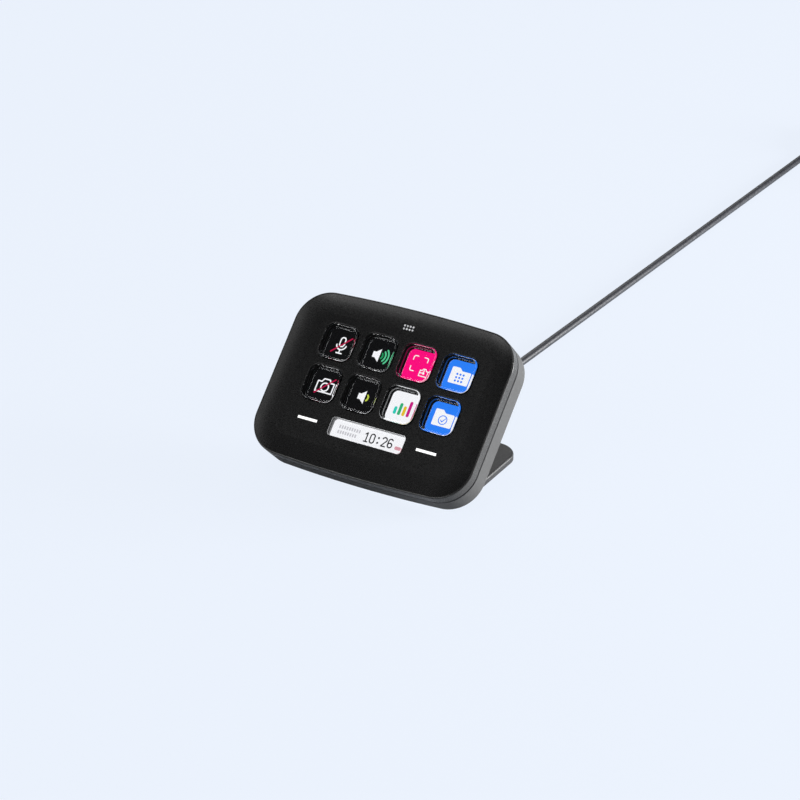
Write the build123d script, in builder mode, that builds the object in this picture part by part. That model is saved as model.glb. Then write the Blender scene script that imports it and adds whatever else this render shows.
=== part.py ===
from build123d import *
import os
from math import cos, hypot, pi, radians, sin, tan

# Desk key pad: eight clear keys over one colour screen, a narrow clock window and two touch bars,
# leaning on a foot plate whose tongue slides into a dock on the back.
# Frame: millimetres, +X right, +Y away from the user, +Z up, z = 0 is the desk.
# Face heights are measured along the face's outward normal, with 0 at the middle of the face.

# ---- Housing ----
FACE_W = 106.0  # width of the face
FACE_H = 77.4  # height of the face
CORNER_R = 15.5  # plan radius of the four corners
BOW = 2.0  # how far a long side bows outwards over the full width
TILT = 45.0  # angle of the face to the desk
BODY_D = 15.2  # depth of the two shells together
SEAM = 4.3  # depth of the seam between the shells
DISH = 1.2  # how far the rim stands above the flat middle of the face
DISH_W = 10.5  # width of the rise towards the rim
DISH_BREAK = 0.01  # lets the rising surface cross the flat face at about one degree
RIM_R = 0.6  # rounding of the front rim
REAR_R = 2.2  # rounding of the rear edge
REAR_DRAFT = 1.0  # draft of the rear shell, degrees
WALL = 2.0  # side walls
FACE_T = 1.8  # thickness of the face at the keys
RIM_FLOOR = 2.4  # depth of the inner ledge along the rim
LEDGE_W = 6.5  # width of that ledge, wall included
REAR_T = 1.8  # back wall
SEAM_BREAK = 0.2  # small chamfer on both sides of the seam
LIP_H = 1.0  # lip of the front shell that enters the rear one
BOSS_REACH = 3.1  # screw bosses of the front shell pass the seam by this
LIP_T = 0.8
FIT = 0.1  # clearance of pieces that are pushed together
TOUCH = 0.02  # gap between pieces that touch but move apart
DESK_GAP = 1.0  # lowest point of the housing above the desk

# ---- Keys ----
PITCH = 19.35  # key pitch, both ways
GRID_V = 7.0  # middle of the key grid above the middle of the face
KEY_W = 16.0  # key cap
KEY_R = 4.0
KEY_PROUD = 0.8  # key top above the face
KEY_EDGE = 0.9  # rounding of the key top
KEY_GAP = 0.3  # gap round a key in its opening
OPENING_BREAK = 0.25  # rounding of the openings' outer edge
KEY_TRAVEL = 1.1
FLANGE_W = 17.8  # flange that holds the key in the housing
FLANGE_T = 0.9
KEY_FOOT_W = 14.6  # lower block of the key, inside the windows below
KEY_FOOT_R = 3.3
WINDOW_W = 15.2  # windows in the membrane and in the key board
RIB_H = 1.5  # height of the rubber rib under each flange
RIB_W = 1.0
SHEET_T = 0.5  # membrane sheet
KEY_BOARD_T = 0.8

# ---- Clock window, touch bars and touch dots ----
BAR_V = -19.1  # middle of the window and of the light bars
CLOCK_W, CLOCK_H, CLOCK_R = 36.0, 8.4, 1.6
CLOCK_FLANGE = 1.5
LIGHT_W, LIGHT_H = 9.5, 1.1
LIGHT_FLANGE = 0.7
DOT_DROP = 5.3  # touch dot below its light bar
DOT_R, DOT_H = 0.5, 0.25
TOUCH_PAD_W, TOUCH_PAD_H = 8.0, 4.6

# ---- Screen stack ----
BOARD_SIDE = 10.5  # key board in from the side of the housing
BOARD_W, BOARD_H = FACE_W - 2 * BOARD_SIDE, 64.0
LCD_SIDE = 1.0  # screen in from the side of the key board
LCD_W, LCD_H, LCD_T = BOARD_W - 2 * LCD_SIDE, 54.4, 2.5
LCD_V = 0.3
CARRIER_T = 1.0
CARRIER_LIP = 0.9
CARRIER_LIP_END = 12.0  # long lips end this far before the screen's corners
CARRIER_SIDE_LIP = (20.0, 10.0)  # place and length of the short lips
POST_H = 0.8  # posts between carrier and main board
MAIN_W, MAIN_H, MAIN_T = 64.0, 46.0, 1.0
MAIN_V = -2.0
CARRIER_HOLE = (6.0, 10.0)  # middle hole of the carrier, in from the main board's edges
FLEX_T = 0.25

# ---- Fasteners ----
SHELL_SCREW_SIDE = 6.5  # shell screws in from the side of the housing
CARRIER_SCREW_OUT = 3.4  # carrier screws out from the side of the key board
SHELL_SCREW = (FACE_W / 2 - SHELL_SCREW_SIDE, 18.0)  # from the face middle, in all four quarters
CARRIER_SCREW = (BOARD_W / 2 + CARRIER_SCREW_OUT, 9.6)
MAIN_SCREW = (MAIN_W / 2 - 4.0, MAIN_H / 2 - 5.0)  # from the middle of the main board
BOSS_R = 2.5
PILOT_R = 0.9
SCREW_R = 1.0
HEAD_R, HEAD_T = 1.9, 1.2

# ---- Hump, dock and rear feet ----
HUMP_SIDE = 13.5  # hump in from the side of the housing
HUMP_W = FACE_W - 2 * HUMP_SIDE
HUMP_V0, HUMP_V1 = -16.0, 26.0  # lower end, and top end where the sloping face starts
HUMP_D = 25.2  # depth of its back
HUMP_R = 3.0
FOOT_R, FOOT_PROUD, FOOT_SINK = 4.0, 0.8, 0.6
FOOT_AT = (30.0, 9.0)  # from the middle of the feet
FOOT_V = -1.0

# ---- Stand ----
UP_T = 3.0  # upright and tongue
TONGUE_W = 50.0
TONGUE_L = 21.0
UPRIGHT_W = 60.0
DOCK_GAP = 0.15
DOCK_DEPTH = 22.0
PLATE_SIDE = 10.0  # foot plate in from the side of the housing
PLATE_W = FACE_W - 2 * PLATE_SIDE
PLATE_R = 10.0
PLATE_TOP = 3.4
PLATE_REACH = 61.5  # rear end of the plate behind the sharp lower rear corner of the housing
PLATE_SET_BACK = 2.4  # front end of the plate behind the sharp corner of the bend
PLATE_EDGE = 1.0
BEND_R = 4.4  # outer bend
BEND_IN_R = 1.6
PAD_T = 1.0
PAD_PROUD = 0.5
PAD_INSET = 2.5

# ---- Cord ----
CORD_D = 3.6
GLAND_L = 14.0
GLAND_R0, GLAND_R1 = 3.5, 2.3
GLAND_NECK_R = 3.2
GLAND_FLANGE_R, GLAND_FLANGE_T = 4.6, 1.4
LEAD_D = 2.6
COIL_R = 19.1  # middle turn
COIL_ROWS = 3
STUB = 14.0  # straight lead-in of the coil
TIE_W, TIE_T = 9.0, 0.9
GRIP_L, GRIP_W, GRIP_H = 21.0, 11.0, 6.4
GRIP_TAPER = 8.0
SHELL_L, SHELL_W, SHELL_H = 6.65, 8.34, 2.56

# ---- Worked out from the above ----
S, C = sin(radians(TILT)), cos(radians(TILT))
BODY_FRONT = FACE_H / 2 * S + DISH * C - 0.25
BODY_REAR = PLATE_REACH - FACE_H / 2 * S + BODY_D * C
FACE_Y = (BODY_FRONT - BODY_REAR) / 2
FACE_Z = DESK_GAP + (FACE_H / 2 - REAR_R) * C + (BODY_D - REAR_R) * S + REAR_R
PLATE_REAR = FACE_Y + BODY_REAR

DECK = Plane(origin=(0, FACE_Y, FACE_Z), x_dir=(1, 0, 0), z_dir=(0, -C, S))
SIDE = Plane(origin=(0, FACE_Y, FACE_Z), x_dir=(0, S, C), z_dir=(1, 0, 0))

FLANGE_TOP = -FACE_T - TOUCH
FLANGE_LOW = FLANGE_TOP - FLANGE_T
RIB_TOP = FLANGE_LOW - TOUCH
SHEET_TOP = RIB_TOP - RIB_H
BOARD_TOP = SHEET_TOP - SHEET_T
BOARD_LOW = BOARD_TOP - KEY_BOARD_T
LCD_LOW = BOARD_LOW - LCD_T
CARRIER_LOW = LCD_LOW - CARRIER_T
MAIN_TOP = CARRIER_LOW - POST_H
MAIN_LOW = MAIN_TOP - MAIN_T
KEY_LOW = BOARD_LOW + KEY_TRAVEL + 0.2
FLOOR_IN = -(BODY_D - REAR_T)
SHELL_BOSS_LOW = -SEAM - BOSS_REACH

TONGUE_BACK = -(HUMP_D - 2.2)
TONGUE_FRONT = TONGUE_BACK + UP_T
SHOULDER_V = HUMP_V0 - TOUCH

KEY_POINTS = [
    ((col - 1.5) * PITCH, GRID_V + (0.5 - row) * PITCH) for row in range(2) for col in range(4)
]
LIGHT_X = 1.5 * PITCH


def level(height):
    """Plane parallel to the face at a height along its normal."""
    return DECK.offset(height)


def height_of(shape):
    """Height of a shape's centre along the face's normal."""
    return (shape.center() - DECK.origin).dot(DECK.z_dir)


def quarters(point, middle_v=0.0):
    """The same point in all four quarters round (0, middle_v)."""
    return [(i * point[0], middle_v + j * point[1]) for i in (-1, 1) for j in (-1, 1)]


def face_outline(inset=0.0):
    """Outline of the face: straight short sides, bowed long sides, round corners."""
    half_w, side_v = FACE_W / 2, FACE_H / 2 - BOW
    with BuildSketch(Plane.XY) as outline:
        with BuildLine():
            left = Line((-half_w, -side_v), (-half_w, side_v))
            top = ThreePointArc(left @ 1, (0, FACE_H / 2), (half_w, side_v))
            right = Line(top @ 1, (half_w, -side_v))
            ThreePointArc(right @ 1, (0, -FACE_H / 2), left @ 0)
        make_face()
        fillet(outline.vertices(), CORNER_R)
        if inset:
            offset(amount=-inset)
    return outline.sketch


def save(part, name):
    """Labels one finished piece and writes it to its own file."""
    part.label = name
    export_step(part, f"parts/{name}.step")


os.makedirs("parts", exist_ok=True)

# ---- Front housing: dished face with the openings, and the front part of the side wall ----
rim_path = DECK.from_local_coords(face_outline()).face().outer_wire()
rim_start, rim_along = rim_path @ 0, rim_path % 0
rim_out = rim_along.cross(DECK.z_dir)
if rim_out.dot(rim_start - DECK.origin) < 0:
    rim_out = -rim_out
dish_radius = (DISH_W**2 + (DISH + DISH_BREAK) ** 2) / (2 * (DISH + DISH_BREAK))
dish_mid = DISH_W / 2
dish_mid_rise = dish_radius - (dish_radius**2 - dish_mid**2) ** 0.5 - DISH_BREAK

with BuildPart() as front_housing:
    with BuildSketch(level(-SEAM)):
        add(face_outline())
    extrude(amount=SEAM)
    # The rising rim is one hollow arc carried round the outline.
    with BuildSketch(Plane(origin=rim_start, x_dir=rim_out, z_dir=rim_out.cross(DECK.z_dir))):
        with BuildLine():
            ThreePointArc((-DISH_W, -DISH_BREAK), (-dish_mid, dish_mid_rise), (0, DISH))
            Polyline((0, DISH), (0, -FACE_T / 2), (-DISH_W, -FACE_T / 2), (-DISH_W, -DISH_BREAK))
        make_face()
    sweep(path=rim_path)
    rim = [e for e in front_housing.edges() if abs(height_of(e) - DISH) < 0.05]
    fillet(rim, RIM_R)
    seam_edges = [e for e in front_housing.edges() if abs(height_of(e) + SEAM) < 0.01]
    chamfer(seam_edges, SEAM_BREAK)
    # Hollow: shallow ledge along the rim, deeper under the keys.
    with BuildSketch(level(-RIM_FLOOR)):
        add(face_outline(WALL))
    extrude(amount=-(SEAM - RIM_FLOOR), mode=Mode.SUBTRACT)
    with BuildSketch(level(-FACE_T)):
        add(face_outline(LEDGE_W))
    extrude(amount=-(RIM_FLOOR - FACE_T), mode=Mode.SUBTRACT)
    # Lip that enters the rear shell.
    with BuildSketch(level(-SEAM)):
        add(face_outline(WALL - LIP_T))
        add(face_outline(WALL), mode=Mode.SUBTRACT)
    extrude(amount=-LIP_H)
    # Bosses: four for the rear shell's screws, four for the screen carrier.
    with BuildSketch(level(-RIM_FLOOR)):
        with Locations(*quarters(SHELL_SCREW)):
            Circle(BOSS_R)
    extrude(amount=RIM_FLOOR + SHELL_BOSS_LOW)
    with BuildSketch(level(-FACE_T)):
        with Locations(*quarters(CARRIER_SCREW)):
            Circle(BOSS_R - 0.3)
    extrude(amount=FACE_T + LCD_LOW)
    with BuildSketch(level(SHELL_BOSS_LOW)):
        with Locations(*quarters(SHELL_SCREW)):
            Circle(PILOT_R)
    extrude(amount=-SHELL_BOSS_LOW - RIM_FLOOR, mode=Mode.SUBTRACT)
    with BuildSketch(level(LCD_LOW)):
        with Locations(*quarters(CARRIER_SCREW)):
            Circle(PILOT_R)
    extrude(amount=-LCD_LOW - RIM_FLOOR, mode=Mode.SUBTRACT)
    # Openings in the face.
    with BuildSketch(level(1)):
        with Locations(*KEY_POINTS):
            RectangleRounded(KEY_W + 2 * KEY_GAP, KEY_W + 2 * KEY_GAP, KEY_R + KEY_GAP)
    extrude(amount=-(FACE_T + 1), mode=Mode.SUBTRACT)
    key_rims = [e for e in front_housing.edges(Select.LAST) if abs(height_of(e)) < 0.001]
    fillet(key_rims, OPENING_BREAK)
    with BuildSketch(level(1)):
        with Locations((0, BAR_V)):
            RectangleRounded(CLOCK_W + 2 * FIT, CLOCK_H + 2 * FIT, CLOCK_R + FIT)
        with Locations((-LIGHT_X, BAR_V), (LIGHT_X, BAR_V)):
            Rectangle(LIGHT_W + FIT, LIGHT_H + FIT)
    extrude(amount=-(FACE_T + 1), mode=Mode.SUBTRACT)
    # Touch dots under the light bars.
    with BuildSketch(level(-FACE_T / 2)):
        with Locations((-LIGHT_X, BAR_V - DOT_DROP), (LIGHT_X, BAR_V - DOT_DROP)):
            Circle(DOT_R)
    extrude(amount=FACE_T / 2 + DOT_H)
save(front_housing.part, "front_housing")

# ---- Rear housing: drafted tray with a hump that holds the dock and the cord's gland ----
IN = REAR_T
RAMP = HUMP_V1 + BODY_D  # the sloping top end lies on v - height = RAMP
RAMP_IN = RAMP - IN * 2**0.5
HUMP_BACK_V1 = RAMP - HUMP_D
SHELF = TONGUE_FRONT + DOCK_GAP + IN
DOCK_END = HUMP_V0 + DOCK_DEPTH
ramp_mid_v = (HUMP_V1 + HUMP_BACK_V1) / 2
ramp_mid = DECK.from_local_coords(Vector(0, ramp_mid_v, ramp_mid_v - RAMP))
gland_out = (DECK.y_dir - DECK.z_dir).normalized()
gland_plane = Plane(origin=ramp_mid, x_dir=(1, 0, 0), z_dir=gland_out)

with BuildPart() as rear_housing:
    with BuildSketch(Plane(origin=level(-SEAM).origin, x_dir=(1, 0, 0), z_dir=-DECK.z_dir)):
        add(face_outline())
    extrude(amount=BODY_D - SEAM, taper=REAR_DRAFT)
    back_edges = [e for e in rear_housing.edges() if abs(height_of(e) + BODY_D) < 0.01]
    fillet(back_edges, REAR_R)
    seam_edges = [e for e in rear_housing.edges() if abs(height_of(e) + SEAM) < 0.01]
    chamfer(seam_edges, SEAM_BREAK)
    with BuildSketch(SIDE) as hump_side:
        Polygon(
            (HUMP_V0, -BODY_D + REAR_T / 2),
            (HUMP_V0, -HUMP_D),
            (HUMP_BACK_V1, -HUMP_D),
            (RAMP - BODY_D + REAR_T / 2, -BODY_D + REAR_T / 2),
            align=None,
        )
    extrude(amount=HUMP_W / 2, both=True)
    hump_edges = [
        e
        for e in rear_housing.edges()
        if height_of(e) < -BODY_D - 1 and abs(e.center().X) > HUMP_W / 2 - 0.1
    ]
    fillet(hump_edges, HUMP_R)
    back_rim = [
        e
        for e in rear_housing.edges()
        if abs(height_of(e) + HUMP_D) < 0.05 and abs(e.center().X) < HUMP_W / 4
    ]
    fillet(back_rim, 1.2)
    # Hollow tray, then the hollow of the hump above the dock's shelf and beside the dock.
    with BuildSketch(level(-SEAM)):
        add(face_outline(WALL))
    extrude(amount=-(BODY_D - REAR_T - SEAM), mode=Mode.SUBTRACT)
    with BuildSketch(level(-SEAM)):
        add(face_outline(WALL - LIP_T - FIT))
    extrude(amount=-(LIP_H + FIT), mode=Mode.SUBTRACT)
    with BuildSketch(SIDE):
        Polygon(
            (HUMP_V0 + IN, FLOOR_IN + 0.5),
            (HUMP_V0 + IN, SHELF),
            (DOCK_END + IN, SHELF),
            (DOCK_END + IN, -HUMP_D + IN),
            (RAMP_IN - HUMP_D + IN, -HUMP_D + IN),
            (RAMP_IN + FLOOR_IN + 0.5, FLOOR_IN + 0.5),
            align=None,
        )
    extrude(amount=HUMP_W / 2 - IN - 0.6, both=True, mode=Mode.SUBTRACT)
    side_room = HUMP_W / 2 - IN - 0.6 - (TONGUE_W / 2 + DOCK_GAP + IN)
    with BuildSketch(level(SHELF)):
        with Locations(
            *[
                (i * (HUMP_W / 2 - IN - 0.6 - side_room / 2), (HUMP_V0 + DOCK_END) / 2 + IN)
                for i in (-1, 1)
            ]
        ):
            Rectangle(side_room, DOCK_DEPTH)
    extrude(amount=-(HUMP_D - IN + SHELF), mode=Mode.SUBTRACT)
    # Dock slot, open at the lower end of the hump.
    with BuildSketch(level(TONGUE_FRONT + DOCK_GAP)):
        with Locations((0, HUMP_V0 + DOCK_DEPTH / 2 - 1)):
            Rectangle(TONGUE_W + 2 * DOCK_GAP, DOCK_DEPTH + 2)
    extrude(amount=-(UP_T + 2 * DOCK_GAP), mode=Mode.SUBTRACT)
    # Pillars for the shell screws, with sunk heads.
    with BuildSketch(level(SHELL_BOSS_LOW)):
        with Locations(*quarters(SHELL_SCREW)):
            Circle(BOSS_R)
    extrude(amount=FLOOR_IN - SHELL_BOSS_LOW)
    with BuildSketch(level(SHELL_BOSS_LOW)):
        with Locations(*quarters(SHELL_SCREW)):
            Circle(SCREW_R + FIT)
    extrude(amount=-BODY_D - SHELL_BOSS_LOW, mode=Mode.SUBTRACT)
    with BuildSketch(level(-BODY_D)):
        with Locations(*quarters(SHELL_SCREW)):
            Circle(HEAD_R + 0.2)
    extrude(amount=HEAD_T + 1.0, mode=Mode.SUBTRACT)
    # Recesses of the rubber feet and the hole of the gland.
    with BuildSketch(level(-HUMP_D)):
        with Locations(*quarters(FOOT_AT, FOOT_V)):
            Circle(FOOT_R)
    extrude(amount=FOOT_SINK, mode=Mode.SUBTRACT)
    with BuildSketch(gland_plane.offset(1)):
        Circle(GLAND_NECK_R)
    extrude(amount=-(1 + IN), mode=Mode.SUBTRACT)
save(rear_housing.part, "rear_housing")

# ---- Clear key caps: block with a rounded top, a holding flange and a lower block ----
for number, (key_x, key_v) in enumerate(KEY_POINTS, start=1):
    with BuildPart() as key_cap:
        with BuildSketch(level(FLANGE_TOP)):
            with Locations((key_x, key_v)):
                RectangleRounded(KEY_W, KEY_W, KEY_R)
        extrude(amount=KEY_PROUD - FLANGE_TOP)
        fillet([e for e in key_cap.edges() if height_of(e) > KEY_PROUD - 0.01], KEY_EDGE)
        with BuildSketch(level(FLANGE_LOW)):
            with Locations((key_x, key_v)):
                RectangleRounded(FLANGE_W, FLANGE_W, KEY_R + (FLANGE_W - KEY_W) / 2)
        extrude(amount=FLANGE_T)
        with BuildSketch(level(KEY_LOW)):
            with Locations((key_x, key_v)):
                RectangleRounded(KEY_FOOT_W, KEY_FOOT_W, KEY_FOOT_R)
        extrude(amount=FLANGE_LOW - KEY_LOW)
    save(key_cap.part, f"key_cap_{number}")

# ---- Rubber membrane: thin sheet with a window and a standing rib under each key ----
SHEET_W = 4 * PITCH + 1.0
SHEET_H = 2 * PITCH + 1.0
RIB_OUT = FLANGE_W - 0.2
with BuildPart() as key_membrane:
    with BuildSketch(level(BOARD_TOP)):
        with Locations((0, GRID_V)):
            RectangleRounded(SHEET_W, SHEET_H, 2)
        with Locations(*KEY_POINTS):
            RectangleRounded(WINDOW_W, WINDOW_W, 3.6, mode=Mode.SUBTRACT)
    extrude(amount=SHEET_T)
    with BuildSketch(level(SHEET_TOP)):
        with Locations(*KEY_POINTS):
            RectangleRounded(RIB_OUT, RIB_OUT, 4.8)
            RectangleRounded(RIB_OUT - 2 * RIB_W, RIB_OUT - 2 * RIB_W, 3.8, mode=Mode.SUBTRACT)
    extrude(amount=RIB_H)
save(key_membrane.part, "key_membrane")

# ---- Key board: circuit board with a window for each key, the clock and the light bars ----
with BuildPart() as key_board:
    with BuildSketch(level(BOARD_LOW)):
        RectangleRounded(BOARD_W, BOARD_H, 5)
        with Locations(*KEY_POINTS):
            RectangleRounded(WINDOW_W, WINDOW_W, 3.6, mode=Mode.SUBTRACT)
        with Locations((0, BAR_V)):
            RectangleRounded(CLOCK_W + 0.6, CLOCK_H + 0.6, CLOCK_R, mode=Mode.SUBTRACT)
        with Locations((-LIGHT_X, BAR_V), (LIGHT_X, BAR_V)):
            Rectangle(LIGHT_W + 0.6, LIGHT_H + 0.6, mode=Mode.SUBTRACT)
    extrude(amount=KEY_BOARD_T)
save(key_board.part, "key_board")

# ---- Clock window: clear block, flush with the face, with a flange glued behind it ----
with BuildPart() as clock_window:
    with BuildSketch(level(BOARD_LOW + 0.3)):
        with Locations((0, BAR_V)):
            RectangleRounded(CLOCK_W, CLOCK_H, CLOCK_R)
    extrude(amount=-BOARD_LOW - 0.3)
    top_edges = [e for e in clock_window.edges() if height_of(e) > -0.01]
    fillet(top_edges, 0.2)
    with BuildSketch(level(-FACE_T - FLANGE_T)):
        with Locations((0, BAR_V)):
            RectangleRounded(
                CLOCK_W + 2 * CLOCK_FLANGE, CLOCK_H + 2 * CLOCK_FLANGE, CLOCK_R + CLOCK_FLANGE
            )
    extrude(amount=FLANGE_T)
save(clock_window.part, "clock_window")

# ---- Light bars: two milky pipes that bring the screen's light up to the face ----
for name, bar_x in (("light_bar_left", -LIGHT_X), ("light_bar_right", LIGHT_X)):
    with BuildPart() as light_bar:
        with BuildSketch(level(BOARD_LOW + 0.3)):
            with Locations((bar_x, BAR_V)):
                Rectangle(LIGHT_W, LIGHT_H)
        extrude(amount=-BOARD_LOW - 0.3)
        with BuildSketch(level(-FACE_T - FLANGE_T)):
            with Locations((bar_x, BAR_V)):
                Rectangle(LIGHT_W + 2 * LIGHT_FLANGE, LIGHT_H + 2 * LIGHT_FLANGE)
        extrude(amount=FLANGE_T)
    save(light_bar.part, name)

# ---- Touch pads: conductive foam between the key board and the back of the face ----
with BuildPart() as touch_pads:
    with BuildSketch(level(BOARD_TOP)):
        with Locations((-LIGHT_X, BAR_V - DOT_DROP), (LIGHT_X, BAR_V - DOT_DROP)):
            RectangleRounded(TOUCH_PAD_W, TOUCH_PAD_H, 0.8)
    extrude(amount=-FACE_T - BOARD_TOP)
save(touch_pads.part, "touch_pads")

# ---- Screen panel ----
with BuildPart() as lcd_panel:
    with BuildSketch(level(LCD_LOW)):
        with Locations((0, LCD_V)):
            RectangleRounded(LCD_W, LCD_H, 1)
    extrude(amount=LCD_T)
save(lcd_panel.part, "lcd_panel")

# ---- Carrier: plate with ears, lips round the screen and posts for the main board ----
with BuildPart() as lcd_carrier:
    with BuildSketch(level(CARRIER_LOW)):
        with Locations((0, LCD_V)):
            RectangleRounded(LCD_W, LCD_H, 1)
        with Locations(*quarters((CARRIER_SCREW[0] - 2.5, CARRIER_SCREW[1]))):
            SlotOverall(9.6, 2 * BOSS_R - 0.6)
        with Locations((0, LCD_V)):
            SlotOverall(
                MAIN_W - 2 * CARRIER_HOLE[0], MAIN_H - 2 * CARRIER_HOLE[1], mode=Mode.SUBTRACT
            )
        with Locations(*quarters(CARRIER_SCREW)):
            Circle(SCREW_R + FIT, mode=Mode.SUBTRACT)
    extrude(amount=CARRIER_T)
    with BuildSketch(level(CARRIER_LOW)):
        with Locations(*[(0, LCD_V + j * (LCD_H + CARRIER_LIP) / 2) for j in (-1, 1)]):
            Rectangle(LCD_W - 2 * CARRIER_LIP_END, CARRIER_LIP)
        with Locations(*quarters(((LCD_W + CARRIER_LIP) / 2, CARRIER_SIDE_LIP[0]), LCD_V)):
            Rectangle(CARRIER_LIP, CARRIER_SIDE_LIP[1])
    extrude(amount=BOARD_LOW - CARRIER_LOW)
    with BuildSketch(level(MAIN_TOP)):
        with Locations(*quarters(MAIN_SCREW, MAIN_V)):
            Circle(2.2)
    extrude(amount=POST_H)
    with BuildSketch(level(MAIN_TOP)):
        with Locations(*quarters(MAIN_SCREW, MAIN_V)):
            Circle(PILOT_R)
    extrude(amount=POST_H + CARRIER_T, mode=Mode.SUBTRACT)
save(lcd_carrier.part, "lcd_carrier")

# ---- Main board and what is soldered on its back ----
with BuildPart() as main_board:
    with BuildSketch(level(MAIN_LOW)):
        with Locations((0, MAIN_V)):
            RectangleRounded(MAIN_W, MAIN_H, 2)
        with Locations(*quarters(MAIN_SCREW, MAIN_V)):
            Circle(SCREW_R + FIT, mode=Mode.SUBTRACT)
    extrude(amount=MAIN_T)
save(main_board.part, "main_board")

CHIPS = [  # x, v, width, height, thickness
    (-6.0, -9.0, 10.0, 10.0, 1.0),
    (8.0, -9.0, 6.0, 5.0, 1.1),
    (8.0, -15.5, 3.2, 2.5, 0.8),
    (16.5, 8.0, 6.0, 3.4, 1.1),
    (-14.0, 10.0, 4.0, 4.0, 1.8),
]
FLEX_SOCKET = (24.0, 3.2, 1.4)  # distance of a flex socket from the middle, its width, its height
with BuildPart() as board_parts:
    for chip_x, chip_v, chip_w, chip_h, chip_t in CHIPS:
        with BuildSketch(level(MAIN_LOW)):
            with Locations((chip_x, chip_v)):
                Rectangle(chip_w, chip_h)
        extrude(amount=-chip_t)
    with BuildSketch(level(MAIN_LOW)):
        with Locations((-FLEX_SOCKET[0], 0), (FLEX_SOCKET[0], 0)):
            Rectangle(FLEX_SOCKET[1], 13)
    extrude(amount=-FLEX_SOCKET[2])
    low_edges = board_parts.edges().filter_by(lambda e: height_of(e) < MAIN_LOW - 0.75)
    chamfer(low_edges, 0.15)
save(board_parts.part, "board_parts")


def flex(side, start_x, start_height, width):
    """Flat flex from the edge of a board or screen round to a socket on the main board's back."""
    turn_x = side * (BOARD_W / 2 + 0.5)
    lie = MAIN_LOW - FLEX_T / 2
    socket_x = side * (FLEX_SOCKET[0] + FLEX_SOCKET[1] / 2)
    across = Plane(origin=DECK.origin, x_dir=(1, 0, 0), z_dir=-DECK.y_dir)
    with BuildPart() as strip:
        with BuildSketch(across):
            with BuildLine():
                FilletPolyline(
                    (start_x, start_height),
                    (turn_x, start_height),
                    (turn_x, lie),
                    (socket_x, lie),
                    radius=0.45,
                )
            trace(line_width=FLEX_T)
        extrude(amount=width / 2, both=True)
    return strip.part


save(flex(-1, -LCD_W / 2, LCD_LOW + 0.5, 12.0), "lcd_flex")
save(flex(1, BOARD_W / 2, BOARD_LOW + KEY_BOARD_T / 2, 10.0), "key_flex")


# ---- Screws: pan heads with a cross-free socket, driven from behind ----
def screws(points, head_height, length):
    """Group of equal screws whose heads sit on a surface that faces backwards."""
    with BuildPart() as group:
        with BuildSketch(level(head_height)):
            with Locations(*points):
                Circle(HEAD_R)
        extrude(amount=-HEAD_T)
        low = group.edges().filter_by(lambda e: height_of(e) < head_height - HEAD_T + 0.01)
        fillet(low, 0.4)
        with BuildSketch(level(head_height - HEAD_T)):
            with Locations(*points):
                RegularPolygon(0.8, 6)
        extrude(amount=0.7, mode=Mode.SUBTRACT)
        with BuildSketch(level(head_height)):
            with Locations(*points):
                Circle(PILOT_R)
        extrude(amount=length)
    return group.part


save(screws(quarters(SHELL_SCREW), -BODY_D + HEAD_T + 1.0, 7.5), "shell_screws")
save(screws(quarters(CARRIER_SCREW), CARRIER_LOW, 4.5), "carrier_screws")
save(screws(quarters(MAIN_SCREW, MAIN_V), MAIN_LOW, 2.6), "board_screws")

# ---- Rubber feet on the hump ----
with BuildPart() as rear_feet:
    with BuildSketch(level(-HUMP_D + FOOT_SINK)):
        with Locations(*quarters(FOOT_AT, FOOT_V)):
            Circle(FOOT_R - FIT)
    extrude(amount=-(FOOT_SINK + FOOT_PROUD))
    outer = rear_feet.edges().filter_by(lambda e: height_of(e) < -HUMP_D - FOOT_PROUD + 0.01)
    fillet(outer, 0.4)
save(rear_feet.part, "rear_feet")

# ---- Stand: foot plate, bend, upright and the tongue that enters the dock ----
bend_side = Plane(origin=(0, 0, 0), x_dir=(0, 1, 0), z_dir=(1, 0, 0))
PLATE_LOW = PAD_PROUD


def upright_y(height, z):
    """Where the upright's surface at a height along the face's normal crosses a level z."""
    v = (z - FACE_Z - height * S) / C
    return FACE_Y + v * S - height * C


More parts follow.
